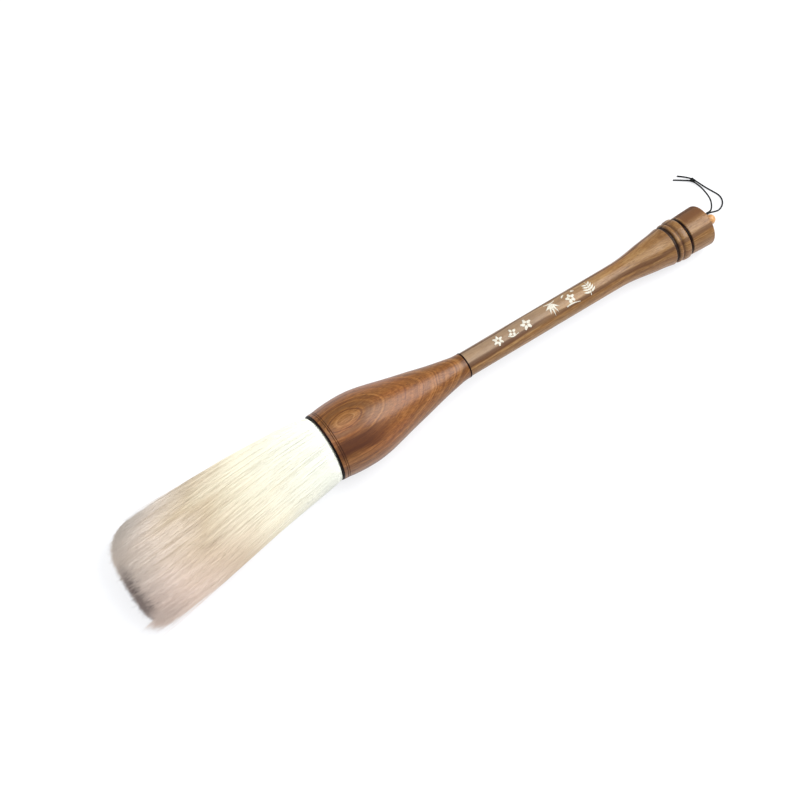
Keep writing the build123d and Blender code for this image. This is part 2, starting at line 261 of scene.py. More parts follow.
# %% One material
class Finish:
    """One material: a Principled shader and the nodes that feed it."""

    def __init__(self, name, **constants):
        self.material = bpy.data.materials.new(name)
        self.material.use_nodes = True
        self.tree = self.material.node_tree
        self.tree.nodes.clear()
        self.shader = self.node("ShaderNodeBsdfPrincipled", {}, constants)
        self.node("ShaderNodeOutputMaterial", {}, {"Surface": self.shader.outputs["BSDF"]})

    def node(self, kind, settings=None, sockets=None):
        """Any node: its settings first (a ramp's are its stops), then its sockets."""
        node = self.tree.nodes.new(kind)
        for key, value in (settings or {}).items():
            if key == "stops":
                ramp = node.color_ramp.elements
                while len(ramp) < len(value):
                    ramp.new(1.0)
                for element, (place, colour) in zip(ramp, value):
                    element.position = place
                    element.color = (*colour, 1.0)
            else:
                setattr(node, key, value)
        for key, value in (sockets or {}).items():
            self.feed(node.inputs[key], value)
        return node

    def feed(self, socket, value):
        """Links a socket to a Value or another socket, or sets its own number or colour."""
        if isinstance(value, Value):
            self.tree.links.new(value.socket, socket)
        elif isinstance(value, bpy.types.NodeSocket):
            self.tree.links.new(value, socket)
        elif socket.type == "RGBA":
            socket.default_value = (*value, 1.0)
        else:
            socket.default_value = value

    def place(self):
        """Object coordinates, which for every piece here are the model's own metres."""
        return self.node("ShaderNodeTexCoord").outputs["Object"]

    def split(self, vector):
        """The three parts of a vector, each as a Value."""
        parts = self.node("ShaderNodeSeparateXYZ", {}, {"Vector": vector})
        return [Value(self, parts.outputs[k]) for k in range(3)]

    def station(self, place):
        """Distance along the brush from the mouth of the bulb, in millimetres."""
        x, _, z = self.split(place)
        return (x - MOUTH[0]) * (ALONG[0] / MM) + (z - MOUTH[2]) * (ALONG[2] / MM)

    def join(self, x, y, z):
        """A vector made of three numbers or Values."""
        return self.node("ShaderNodeCombineXYZ", {}, {"X": x, "Y": y, "Z": z}).outputs[0]

    def noise(self, vector, stretch, detail=3.0, roughness=0.5):
        """Soft random 0..1. stretch is how many blotches there are per unit along X, Y, Z."""
        scaled = self.node("ShaderNodeMapping", {}, {"Vector": vector, "Scale": stretch})
        node = self.node("ShaderNodeTexNoise", {}, {
            "Vector": scaled.outputs["Vector"], "Scale": 1.0,
            "Detail": detail, "Roughness": roughness})
        return Value(self, node.outputs[0])

    def ramp(self, value, stops):
        """A colour that changes smoothly from stop to stop as the value grows."""
        node = self.node("ShaderNodeValToRGB", {"stops": stops}, {"Fac": value})
        return node.outputs["Color"]

    def mix(self, share, first, second, how="MIX"):
        """Colours mixed by share, 0 for the first and 1 for the second."""
        node = self.node("ShaderNodeMix", {"data_type": "RGBA", "blend_type": how},
                         {0: share, 6: first, 7: second})
        return node.outputs[2]

    def bump(self, height, depth, strength=1.0):
        """Lights the surface as if it rose by height x depth metres."""
        node = self.node("ShaderNodeBump", {}, {
            "Height": height, "Distance": depth, "Strength": strength})
        self.feed(self.shader.inputs["Normal"], node.outputs["Normal"])


print("finish kit ready")

# %% [markdown]
# ## Rosewood
# Wood shows its growth layers. Where a branch once started, the layers close round it, and a
# turned bulb that cuts them shows an oval eye with arcs around it. Along a straight shaft the
# same layers are long lines. Both come from one number worked out in space, the layer number:
# round an eye it is the distance from the eye, measured shorter along the grain than across it,
# and in a shaft it is the distance from the heart of the tree, a line far below the brush.


# %% The eye and the heart line
EYE_STATION = 15.0
EYE = MOUTH + EYE_STATION * MM * ALONG + 22.0 * MM * UP


def eye_layers(f, place):
    """Distance from the eye in mm: sqrt((0.43 ds)^2 + (0.95 dy)^2 + (1.15 dz)^2)."""
    _, y, z = f.split(place)
    along = (f.station(place) - EYE_STATION) * 0.43
    across = (y - EYE[1]) * (0.95 / MM)
    down = (z - EYE[2]) * (1.15 / MM)
    return (along * along + across * across + down * down) ** 0.5


def heart_layers(f, place):
    """Distance in mm from a heart line 60 mm below the brush and a little to one side."""
    _, y, z = f.split(place)
    across = (y + 0.012) * (0.9 / MM)
    height = (z + 0.060) / MM
    return (across * across + height * height) ** 0.5


print("the eye of the bulb is at", np.round(EYE, 4))

# %% [markdown]
# ## Tone from the layer number
# Each layer has its own tone, fine lines run within it, and short flecks and pores lie over it.
# The layers wander, or they would look drawn with a compass. An image of wood would stretch over
# a turned bulb, while numbers worked out in space run through it, as real layers do.


# %% The rosewood recipe
def rosewood(name, layers, layer_mm, wander_mm, contrast, tones, streaks):
    """Tone = noise along the warped layer number + fibre + flecks. Streaks lie over it."""
    f = Finish(name, **{"Coat Roughness": 0.18, "Specular IOR Level": 0.32})
    place = f.place()
    x, y, _ = f.split(place)
    slow = f.noise(place, (16.0, 40.0, 40.0), 2.0)
    ripple = f.noise(place, (70.0, 160.0, 160.0), 2.0)
    wander = (slow - 0.5) * wander_mm + (ripple - 0.5) * (0.2 * wander_mm)
    layer = (layers(f, place) + wander) / layer_mm
    bands = f.noise(f.join(layer, x * 5.0, y * 4.0), (1.0, 1.0, 1.0), 3.0, 0.6)
    lines = f.noise(f.join(layer * 3.3, x * 12.0, y * 16.0), (1.0, 1.0, 1.0), 2.0)
    fibre = f.noise(place, (60.0, 1500.0, 1500.0), 3.0, 0.6)
    fleck = f.noise(place, (190.0, 900.0, 900.0), 3.0, 0.7)
    pores = f.noise(place, (140.0, 2600.0, 2600.0), 1.0).smooth(0.62, 0.72)
    tone = (bands - 0.5) * contrast + (lines - 0.5) * 0.4 + (fibre - 0.5) * 0.35 + 0.5
    tone = tone + (fleck - 0.5) * 0.55
    colour = f.ramp(tone, tones)
    warm = f.noise(place, (14.0, 60.0, 60.0), 2.0).smooth(0.35, 0.7)
    colour = f.mix(warm * 0.5, colour, (1.25, 0.86, 0.55), "MULTIPLY")
    dark = f.noise(f.join(layer * 0.45, x * 3.0, y * 2.0), (1.0, 1.0, 1.0), 1.0)
    colour = f.mix(dark.smooth(0.56, 0.76) * 0.55, colour, (0.060, 0.018, 0.005))
    colour = f.mix(pores * 0.45, colour, (0.030, 0.012, 0.005))
    dull = 0.33 + 0.12 * fibre + 0.1 * pores
    coat = 0.15 - 0.1 * pores
    for share, tint in streaks(f, place):
        share = share * (0.7 + 0.6 * fleck)
        colour = f.mix(share, colour, tint)
        dull = dull + 0.3 * share
        coat = coat * (1.0 - 0.9 * share)
    f.feed(f.shader.inputs["Base Color"], colour)
    f.feed(f.shader.inputs["Roughness"], dull)
    f.feed(f.shader.inputs["Coat Weight"], coat)
    f.bump(fibre * 0.4 - pores, 0.00005, 0.35)
    return f.material

# %% [markdown]
# ## Streaks
# Heartwood has darker streaks, and the scored lines and grooves are coloured darker too. On the
# shaft, a paler band along the top near the joint is a painted sheen, laid on like a streak. Each
# streak is a share from 0 to 1 and a tint. The recipe lays them over the tone and makes them
# duller.


# %% Streaks of the bulb and of the shaft
def bulb_streaks(f, place):
    """A dark heart streak low on one side near the mouth, and the two scored lines."""
    _, y, _ = f.split(place)
    station = f.station(place)
    wave = f.noise(place, (30.0, 260.0, 260.0), 3.0)
    side = (y / MM + (wave - 0.5) * 9.0).near(-14.0, 3.6)
    fade = station.smooth(-1.0, 4.0) * (1.0 - station.smooth(16.0, 46.0))
    score = station.near(3.0, 0.3) + station.near(4.1, 0.3)
    return [(side * fade * 0.85, (0.062, 0.013, 0.002)), (score * 0.5, (0.040, 0.014, 0.005))]


def shaft_streaks(f, place):
    """Painted sheen by the joint, dark streaks on the flanks, a red patch on the cap, two grooves.
    """
    _, y, _ = f.split(place)
    station = f.station(place)
    wave = f.noise(place, (24.0, 120.0, 120.0), 3.0)
    across = y / MM + (wave - 0.5) * 5.0
    wide = station.smooth(205.0, 250.0) * 3.5
    low = (across + wide).near(-4.4, 1.3)
    high = (across - wide).near(5.3, 0.6)
    groove = station.near(250.4, 1.2) + station.near(261.0, 1.1)
    slim = station.near(254.6, 0.55)
    # Painted sheen: a paler band along the top of the shaft, standing in for the broad reflection
    # of the light, fading out between stations 140 and 215 mm.
    painted_sheen = across.near(1.0, 4.5) * (1.0 - station.smooth(140.0, 215.0))
    patch = across.near(7.0, 5.5) * station.smooth(262.5, 264.0)
    return [(painted_sheen * 0.45, (0.430, 0.320, 0.210)), (patch * 0.75, (0.105, 0.036, 0.010)),
            (low * 0.6, (0.060, 0.018, 0.006)), (high * 0.6, (0.055, 0.020, 0.007)),
            (groove * 0.92, (0.010, 0.003, 0.002)), (slim * 0.7, (0.050, 0.017, 0.006))]

# %% [markdown]
# ## Two boards of rosewood
# The bulb is redder and darker than the shaft, as if cut from another board. A list of stops turns
# the tone into colour, from the dark lines to the pale ones.

# %% Both woods
BULB_TONES = [
    (0.12, (0.060, 0.016, 0.003)), (0.36, (0.130, 0.044, 0.008)), (0.52, (0.205, 0.079, 0.016)),
    (0.66, (0.275, 0.118, 0.030)), (0.86, (0.350, 0.180, 0.062)),
]
SHAFT_TONES = [
    (0.10, (0.078, 0.028, 0.007)), (0.34, (0.155, 0.068, 0.018)), (0.52, (0.225, 0.113, 0.036)),
    (0.66, (0.290, 0.162, 0.060)), (0.86, (0.370, 0.235, 0.105)),
]
bulb_wood = rosewood("bulb_rosewood", eye_layers, 2.1, 5.0, 1.05, BULB_TONES, bulb_streaks)
shaft_wood = rosewood("shaft_rosewood", heart_layers, 2.1, 3.0, 1.0, SHAFT_TONES, shaft_streaks)
print("woods:", bulb_wood.name, shaft_wood.name)

# %% [markdown]
# ## Boxwood
# The knob is a pale, close wood that takes a clean edge on the lathe. It has hardly any pores, so
# faint long fibres over a warm ground are enough.


# %% The boxwood finish
def boxwood():
    """Pale close wood: faint long fibres over a warm ground, nearly no pores."""
    f = Finish("turned_boxwood", **{"Roughness": 0.38, "Coat Weight": 0.2, "Coat Roughness": 0.2})
    place = f.place()
    grain = f.noise(place, (160.0, 1400.0, 700.0), 3.0)
    cloud = f.noise(place, (300.0, 300.0, 300.0), 2.0)
    tone = grain * 0.6 + cloud * 0.4
    colour = f.ramp(tone, [(0.3, (0.34, 0.15, 0.045)), (0.55, (0.56, 0.29, 0.10)),
                           (0.75, (0.70, 0.42, 0.18))])
    f.feed(f.shader.inputs["Base Color"], colour)
    f.bump(grain, 0.00003, 0.3)
    return f.material


knob_wood = boxwood()
print("knob:", knob_wood.name)

# %% [markdown]
# ## Horn
# The lip of the bulb and the two spacers are dark horn: almost black, with brown clouds that show
# only where light catches them, and polished like a button.


# %% The horn finish
def horn():
    """Dark clouds and fine lines along the ring, under a soft polish."""
    f = Finish("dark_horn", **{"Specular IOR Level": 0.07})
    place = f.place()
    cloud = f.noise(place, (260.0, 120.0, 120.0), 4.0, 0.6)
    colour = f.ramp(cloud, [(0.35, (0.003, 0.001, 0.001)), (0.62, (0.010, 0.003, 0.002)),
                            (0.8, (0.036, 0.010, 0.006))])
    f.feed(f.shader.inputs["Base Color"], colour)
    f.feed(f.shader.inputs["Roughness"], 0.32 + 0.2 * cloud)
    f.bump(cloud, 0.00004, 0.25)
    return f.material


dark_horn = horn()
print("horn:", dark_horn.name)

# %% [markdown]
# ## Dressing the turned parts
# A CAD node whose shape is right stays as it is. Only the material in its slots changes.


# %% Finishes on the CAD nodes
def dress(node_name, material):
    """Changes the one material slot of a CAD node."""
    node = frame["nodes"][node_name]
    node.data.materials.clear()
    node.data.materials.append(material)


for node_name, material in (
    ("hopper", bulb_wood), ("handle_shaft", shaft_wood), ("end_cap", shaft_wood),
    ("hanging_knob", knob_wood), ("lip_ring", dark_horn), ("joint_ring", dark_horn),
    ("cap_ring", dark_horn),
):
    dress(node_name, material)
print("turned parts dressed")

# %% [markdown]
# ## The lie of the hair
# Hair leaves the mouth as a round bundle, then sags until it rests on the table, and spreads
# as it sags. That is one bent, flattening sleeve. Its half width, half height and the place of
# its middle are smooth curves of the distance past the mouth, and every hair is a line of
# constant position within the sleeve, so no hair has to be placed by hand.

# %% The sleeve that the hair fills
HAIR_REACH = 133.0 * MM
FLOOR_GAP = 0.3 * MM
# past the mouth, half width, half height, height of the middle, sideways place of the middle: mm
SECTIONS = np.array([
    (-6.0, 18.0, 18.0, 22.9, 0.0), (0.0, 18.4, 18.4, 23.1, 0.0), (0.8, 20.6, 20.6, 23.1, 0.0),
    (2.0, 20.9, 20.7, 23.2, 0.0), (6.0, 21.7, 20.6, 23.4, 0.0), (13.0, 22.9, 19.9, 23.2, 0.0),
    (30.0, 25.1, 18.1, 21.0, 0.3), (50.0, 27.6, 15.5, 16.4, 0.9), (72.0, 29.8, 12.6, 12.9, 0.2),
    (92.0, 31.1, 10.4, 10.7, -0.8), (118.0, 31.5, 8.8, 9.1, -2.1), (140.0, 31.2, 7.6, 7.9, -2.6),
])
LENGTHS, HALF_WIDTHS, HALF_HEIGHTS, MIDDLE_HEIGHTS, MIDDLE_SIDES = SECTIONS.T * MM


def in_sleeve(past, share, angle):
    """The point at a distance past the mouth, a share of the radius and an angle from the top.

    Y = middle + half width x share x sin(angle), Z = middle + half height x share x cos(angle),
    and whatever would sink into the table lies on it.
    """
    y = through(LENGTHS, MIDDLE_SIDES, past)
    y = y + through(LENGTHS, HALF_WIDTHS, past) * share * np.sin(angle)
    z = through(LENGTHS, MIDDLE_HEIGHTS, past)
    z = z + through(LENGTHS, HALF_HEIGHTS, past) * share * np.cos(angle)
    x = MOUTH[0] - past + 0.035 * (z - MOUTH[2]) * (past < 0)
    return np.stack([x, y, np.maximum(z, FLOOR_GAP * (1.0 + 2.0 * (1.0 - share)))], -1)


def blunt_end(angle, share):
    """Where a hair ends: square across, rounded at both corners, more at the far one."""
    across = share * np.sin(angle)
    far_corner, near_corner = np.clip(across, 0, 1) ** 4, np.clip(-across, 0, 1) ** 4
    return HAIR_REACH - 15.0 * MM * far_corner - 8.0 * MM * near_corner


print("hair reaches", HAIR_REACH, "m past the mouth")

# %% [markdown]
# ## The finish of the hair
# Goat hair is white at the root, cream along its length and grey brown near the tip, where ink
# and wear have stained it. The lower half of the cut end is darker still, partly ink stain and
# partly painted shade on the end that turns from the light. Colour follows two numbers that every
# piece of hair carries in its UV map: U is where its end lies across the tuft, 0 on one side and 1
# on the other, and V runs from root to tip. Both stay with the hair when the tuft sways, and so do
# its streaks, stains and painted shade.


# %% The hair finish
TIP_WIDTH = 0.062
TIP_SIDE = -0.002


def goat_hair():
    """Tone = root-to-tip run + a push of its own for each hair + slow clouds over the tuft.
    A faint glow in the hair's own colour is painted light, for light that passes through hair.
    """
    f = Finish("goat_hair", **{"Roughness": 0.6, "Specular IOR Level": 0.25,
                               "Emission Strength": 0.22})
    run = f.node("ShaderNodeUVMap", {"uv_map": "run"}).outputs["UV"]
    across, along, _ = f.split(run)
    y = (across - 0.5) * TIP_WIDTH + TIP_SIDE
    cloud = f.noise(run, (3.7, 2.4, 1.0), 2.0)
    lock = f.noise(run, (700.0, 1.5, 1.0), 2.0)
    stain = along + (lock - 0.5) * 0.42 + (cloud - 0.5) * 0.3
    colour = f.ramp(stain, [
        (0.06, (0.78, 0.79, 0.71)), (0.40, (0.75, 0.71, 0.58)), (0.62, (0.58, 0.49, 0.36)),
        (0.86, (0.68, 0.60, 0.53)), (0.99, (0.70, 0.63, 0.57)),
    ])
    rosy = (0.0 - y).smooth(-0.005, 0.03) * along.smooth(0.2, 0.9) * 0.45
    colour = f.mix(rosy, colour, (0.72, 0.58, 0.52))
    # Painted shade: toward the tip, the +Y side of the tuft, which turns away from the light, is
    # mixed toward grey.
    painted_side_shade = y.smooth(0.008, 0.03) * along.smooth(0.25, 0.95) * 0.4
    colour = f.mix(painted_side_shade, colour, (0.56, 0.54, 0.50))
    low = 0.0 - y
    streak = f.noise(run, (23.0, 1.3, 1.0), 3.0, 0.6).smooth(0.50, 0.68)
    aged = along.smooth(0.35, 0.75) * (1.0 - along.smooth(0.80, 0.95))
    colour = f.mix(streak * aged * 0.6, colour, (0.40, 0.31, 0.22))
    # Dark band on the lower half of the cut end: partly ink stain, partly painted shade on the end
    # face, which turns away from the light.
    ink_and_end_shade = along.smooth(0.974, 0.994) * low.smooth(-0.012, 0.006) * (1.0 - low.smooth(0.022, 0.029))
    colour = f.mix(ink_and_end_shade * lock.smooth(0.25, 0.5) * 0.8, colour, (0.105, 0.065, 0.065))
    f.feed(f.shader.inputs["Base Color"], colour)
    # Painted light: the hair glows faintly (Emission Strength 0.22) in its own colour, standing in
    # for light passing through the hairs; near the root the glow is cut by up to 55 %.
    root = 1.0 - along.smooth(0.0, 0.38)
    f.feed(f.shader.inputs["Emission Color"], f.mix(root * 0.55, colour, (0.0, 0.0, 0.0)))
    return f.material


hair_finish = goat_hair()
print("hair:", hair_finish.name)

# %% [markdown]
# ## The body of the tuft
# Behind the loose hairs there must be something solid, or light leaks through. It is one closed
# sleeve a little inside the outermost hairs, with fine ridges along it, so that a gap between
# two hairs shows more hair and not a hollow.


# %% The inner sleeve
SLEEVE_SIDES = 360


def tuft_body():
    """Rings of the sleeve at most of its radius, rippled: share = 0.93 + small sines of angle."""
    past = np.concatenate([np.linspace(-3.0, 3.0, 16), np.linspace(4.0, 130.0, 134)])
    past = past[:, None] * MM
    angle = np.linspace(0.0, 2 * math.pi, SLEEVE_SIDES, endpoint=False)[None]
    lock = 0.012 * np.sin(37 * angle + 9 * past / HAIR_REACH) + 0.008 * np.sin(83 * angle)
    own_end = blunt_end(angle, 1.0)
    fade = np.clip(past / own_end, 0.0, 1.0)
    share = 0.93 + lock * fade
    short = np.minimum(past, own_end - 7.0 * MM)
    points = in_sleeve(short, share, np.broadcast_to(angle, share.shape))
    uv = np.stack([0.5 + 0.5 * share * np.sin(angle), np.broadcast_to(fade, share.shape)], -1)
    return mesh_piece("tuft_body", points.reshape(-1, 3), ring_faces(len(past), SLEEVE_SIDES),
                      uv.reshape(-1, 2))


sleeve = tuft_body()
print("inner sleeve:", len(sleeve.data.polygons), "faces")

# %% [markdown]
# ## The hairs
# Tens of thousands of real hairs are far too many, so each modelled hair stands for a small lock.
# It is a three-sided needle: few faces, yet closed and round enough at its size. Needles gather
# toward shared tips, wander a little on the way and end within a few millimetres of each other,
# which is what makes hair look like hair and not like a comb. STEPS says where along a hair its
# rings lie: close together at the mouth, where it swells over the lip, and wider apart after that.
# The draw is seeded, so every run makes the same brush.

# %% Hairs in bundles
STEPS = np.array([0.0, 0.029, 0.036, 0.08, 0.17, 0.30, 0.46, 0.64, 0.82, 1.0])
RINGS = len(STEPS)
HAIRS_PER_PIECE = 3400
HAIR_HALF = 0.14 * MM


def hair_piece(name, seed, count, inner, start, fly=0.0, sector=(0.0, 2 * math.pi), extra=0.0,
               locks=260):
    """Needles from start to the blunt end, their share of the radius between inner and 1.

    They grow from a sector of angles, stand off the end by fly and reach past it by extra.

    Path = sleeve point at (share, angle), where both slide from their own value toward the
    tip of their lock as t^2, plus a sine wander that grows with t. Radius = half x taper. The UV
    map says across and along: (1 + share x sin(angle)) / 2 at the tip, and past / end.
    """
    draw = np.random.default_rng(seed)
    angle = draw.uniform(*sector, count)
    share = np.sqrt(draw.uniform(inner**2, 1.0, count))
    lock_angle = np.sort(draw.uniform(*sector, locks))
    nearest = np.clip(np.searchsorted(lock_angle, angle), 0, locks - 1)
    tip_angle = lock_angle[nearest] + draw.normal(0.0, 0.035, count)
    tip_share = share + draw.normal(0.0, 0.02, count) + fly * draw.exponential(0.05, count)
    t = STEPS
    end = blunt_end(tip_angle, tip_share) + draw.normal(0.0, 1.3 * MM, count)
    end = end - draw.exponential(2.0 * MM, count) + extra * draw.uniform(0.2, 1.0, count)
    past = start + (end - start)[:, None] * t
    pull = t**2 * 0.62
    bend = angle[:, None] + (tip_angle - angle)[:, None] * pull
    phase = draw.uniform(0.0, 2 * math.pi, (2, count, 1))
    speed = draw.uniform(2.0, 6.0, (2, count, 1))
    bend = bend + 0.016 * t**1.5 * np.sin(speed[0] * t + phase[0])
    swell = share[:, None] + (tip_share - share)[:, None] * t**2
    swell = swell + 0.014 * t * np.sin(speed[1] * t + phase[1])
    path = in_sleeve(past, swell, bend)
    taper = HAIR_HALF * (1.0 - 0.7 * t**3) * draw.uniform(0.7, 1.2, (count, 1))
    rings = tube_points(path, taper, taper, np.array([0.0, 0.0, 1.0]), 3)
    blocks = ring_faces(RINGS, 3)
    shift = (np.arange(count) * RINGS * 3)[:, None, None]
    blocks = [(block[None] + shift).reshape(-1, block.shape[1]) for block in blocks]
    across = 0.5 + 0.5 * swell[:, -1:] * np.sin(bend[:, -1:])
    run = np.clip(past / end[:, None], 0.0, 1.0)
    uv = np.stack(np.broadcast_arrays(across, run), -1).reshape(-1, 2)
    return mesh_piece(name, rings.reshape(-1, 3), blocks, np.repeat(uv, 3, axis=0))


hair_pieces = [hair_piece(f"cover_hair_{k + 1}", 100 + k, HAIRS_PER_PIECE, 0.90, -4.0 * MM)
               for k in range(5)]
hair_pieces += [hair_piece(f"tip_hair_{k + 1}", 200 + k, HAIRS_PER_PIECE, 0.0, 90.0 * MM)
                for k in range(2)]
hair_pieces.append(hair_piece("stray_hair", 300, 260, 0.96, 20.0 * MM, 1.0))
hair_pieces.append(hair_piece("corner_hair", 301, 420, 0.85, 50.0 * MM, 0.6,
                              (math.radians(-106.0), math.radians(-76.0)), 9.0 * MM, 7))
print("hairs:", sum(len(piece.data.polygons) for piece in hair_pieces), "faces")

# %% [markdown]
# ## Every piece of hair gets its finish
# The tuft sways on a hinge just inside the mouth, but hair doesn't crease there. Here each piece
# gets the hair finish and has its place baked into its points, and the CAD tuft is hidden.

# %% The hair finish on every piece
for piece in [sleeve] + hair_pieces:
    piece.data.materials.append(hair_finish)
    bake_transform(piece)
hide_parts("tuft_cover", "tuft_core")
print("pieces that bend:", 1 + len(hair_pieces))

# %% [markdown]
# ## The glued butt
# Inside the bulb the hair is cut square, bound with thread and set in resin. Nobody sees it, but
# a brush without it would be hollow, so the butt is a short turned plug with a hairy finish, and
# the binding and the resin keep their CAD shapes.


# %% The butt, the binding and the resin
def lathe(name, stations, radii, sides=96):
    """A profile turned about the brush axis: rings of the given radii, closed at both ends."""
    angle = np.linspace(0.0, 2 * math.pi, sides, endpoint=False)[None]
    s = np.asarray(stations)[::-1, None] * MM
    r = np.asarray(radii)[::-1, None] * MM
    points = on_brush(s, r, angle)
    run = np.broadcast_to(s / s.max(), points.shape[:2])
    uv = np.stack([np.broadcast_to(0.5 + 0.5 * np.sin(angle), run.shape), run * 0.1], -1)
    return mesh_piece(name, points.reshape(-1, 3), ring_faces(len(s), sides), uv.reshape(-1, 2))


butt = lathe("glued_butt", [-1.0, -0.6, 19.0, 19.0, 27.4, 27.4, 30.0],
             [17.0, 17.4, 17.6, 17.5, 17.5, 17.6, 17.6])
butt.data.materials.append(hair_finish)
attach(butt, "handle")
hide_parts("hair_root")


def thread_finish():
    """Waxed thread: fine twist lines over a straw colour."""
    f = Finish("waxed_thread", **{"Roughness": 0.6})
    twist = f.noise(f.place(), (900.0, 500.0, 500.0), 2.0)
    f.feed(f.shader.inputs["Base Color"], f.ramp(twist, [
        (0.3, (0.36, 0.28, 0.16)), (0.7, (0.66, 0.57, 0.40))]))
    f.bump(twist, 0.0001, 0.5)
    return f.material


def resin_finish():
    """Set resin: amber clouds under a gloss."""
    f = Finish("set_resin", **{"Roughness": 0.2, "Coat Weight": 0.4})
    cloud = f.noise(f.place(), (150.0, 150.0, 150.0), 3.0)
    f.feed(f.shader.inputs["Base Color"], f.ramp(cloud, [
        (0.3, (0.16, 0.07, 0.02)), (0.7, (0.34, 0.18, 0.06))]))
    return f.material


dress("root_binding", thread_finish())
dress("root_plug", resin_finish())
print("butt, binding and resin in place")

# %% [markdown]
# ## Painted marks
# Brushes carry small carved marks filled with white paint. These are plain plants: three larger
# sprigs and three small blossoms. Each stroke is a flat lens-shaped bead of paint that follows
# the round of the shaft: its line is drawn on a flat sheet in millimetres, then wrapped.

# %% Strokes wrapped on the shaft
SHAFT_R = 7.74 * MM
PAINT_HALF = 0.11 * MM
MARK_TILT = math.radians(-4.0)


def stroke(start, middle, finish, width, tip=0.15, root=0.35):
    """A bowed line with a swelling width, as (line points, half widths) in millimetres.

    Line = the parabola with those three points as its control points. Half width =
    width/2 x the larger of sin(pi t^0.75) and a straight run from root to tip.
    """
    t = np.linspace(0.0, 1.0, 12)[:, None]
    line = (1 - t) ** 2 * np.array(start) + 2 * t * (1 - t) * np.array(middle)
    line = line + t**2 * np.array(finish)
    ends = root * (1 - t[:, 0]) + tip * t[:, 0]
    half = width / 2 * np.maximum(np.sin(math.pi * t[:, 0] ** 0.75), ends)
    return line, half

# %% [markdown]
# ## From the sheet to the shaft
# A mark could be a picture laid on the wood, but a filled carving stands a little proud and its
# edges catch light. So the sheet is wrapped: its length becomes a station, its height an angle,
# and each stroke a thin tube with a flat section.


# %% Wrapping the strokes
def wrapped(name, station, strokes, size):
    """Strokes laid on the shaft: X of the sheet runs along it, Y round it, radius = shaft."""
    points, blocks, first = [], [], 0
    for line, half in strokes:
        along = station * MM + line[:, 0] * size * MM
        angle = MARK_TILT + line[:, 1] * size * MM / SHAFT_R
        path = on_brush(along, SHAFT_R + 0.03 * MM, angle)
        middle = path.mean(axis=0)
        outward = middle - MOUTH - ((middle - MOUTH) @ ALONG) * ALONG
        outward = outward / np.linalg.norm(outward)
        thick = np.full(len(half), PAINT_HALF)
        rings = tube_points(path, thick, half * size * MM, outward, 10)
        points.append(rings.reshape(-1, 3))
        blocks += ring_faces(len(line), 10, first)
        first += rings.shape[0] * rings.shape[1]
    caps = [block for block in blocks if block.shape[1] == 10]
    walls = [block for block in blocks if block.shape[1] == 4]
    return mesh_piece(name, np.concatenate(points), [np.concatenate(walls), np.concatenate(caps)])

# %% [markdown]
# ## Plants made of strokes
# A blossom is petals set evenly round a middle, and a sprig is leaves in pairs that grow shorter.
# The list gives each mark its station, its strokes and its size in millimetres.


# %% Blossoms, sprigs and leaves
def blossom(petals, reach, width):
    """Petals round a middle: each a short fat stroke from near the middle outward."""
    turns = np.arange(petals) * 2 * math.pi / petals + 0.3
    return [stroke((0.2 * reach * math.cos(a), 0.2 * reach * math.sin(a)),
                   (0.6 * reach * math.cos(a + 0.12), 0.6 * reach * math.sin(a + 0.12)),
                   (reach * math.cos(a), reach * math.sin(a)), width, 0.6, 0.3)
            for a in turns]


def sprig(leaves, spread, lean):
    """A stem with leaves in pairs along it, the pairs growing shorter toward the tip."""
    parts = [stroke((-0.1, -1.0), (lean, 0.0), (0.1, 1.0), 0.13, 0.5, 0.8)]
    for k in range(leaves):
        height = -0.62 + 1.35 * k / leaves
        reach = spread * (1.0 - 0.42 * k / leaves)
        for way in (-1.0, 1.0):
            lift = 0.34 + 0.06 * way
            parts.append(stroke((lean * 0.5, height), (way * reach * 0.6, height + 0.08),
                                (way * reach, height + lift), 0.27, 0.1, 0.3))
    return parts


MARKS = [
    ("mark_leaf_sprig", 188.0, sprig(4, 0.85, 0.12), 5.0),
    ("mark_plum_branch", 174.6,
     blossom(5, 0.62, 0.44)
     + [stroke((-0.95, -0.75), (-0.2, -0.55), (0.95, -0.95), 0.2, 0.3, 0.9),
        stroke((-0.2, -0.62), (0.0, -0.4), (0.0, -0.2), 0.16, 0.5, 0.9),
        stroke((0.55, 0.72), (0.75, 0.85), (0.95, 0.62), 0.3, 0.4, 0.4),
        stroke((-0.9, 0.55), (-0.75, 0.85), (-0.4, 0.9), 0.26, 0.4, 0.4)], 5.0),
    ("mark_bamboo_leaves", 161.6,
     [stroke((0.0, 0.7), (dx * 0.45, 0.25), (dx, dy), 0.3, 0.05, 0.3)
      for dx, dy in ((-0.95, 0.15), (-0.6, -0.55), (-0.12, -0.98), (0.42, -0.75), (0.9, -0.2))]
     + [stroke((-0.75, 0.98), (0.0, 0.62), (0.8, 0.9), 0.18, 0.5, 0.8)], 5.0),
    ("mark_blossom_1", 141.8, blossom(5, 0.95, 0.62), 3.8),
    ("mark_bud_pair", 131.6,
     [stroke((-0.9, -0.2), (-0.3, -0.9), (0.9, -0.5), 0.24, 0.4, 0.8)]
     + blossom(4, 0.72, 0.5), 3.8),
    ("mark_blossom_2", 121.4, blossom(6, 0.9, 0.5), 3.7),
]
print("marks at", [station for _, station, _, _ in MARKS], "mm from the mouth")

# %% [markdown]
# ## Old paint
# The filling is a matt white gone cream, worn in small spots.


# %% The paint, and the marks in place
def mark_paint():
    """Old white paint: slightly cream, matt, with small worn spots."""
    f = Finish("mark_paint", **{"Roughness": 0.6})
    spots = f.noise(f.place(), (900.0, 900.0, 900.0), 3.0)
    f.feed(f.shader.inputs["Base Color"], f.ramp(spots, [
        (0.25, (0.42, 0.38, 0.29)), (0.45, (0.60, 0.57, 0.48)), (0.7, (0.64, 0.62, 0.55))]))
    f.bump(spots, 0.00005, 0.4)
    return f.material


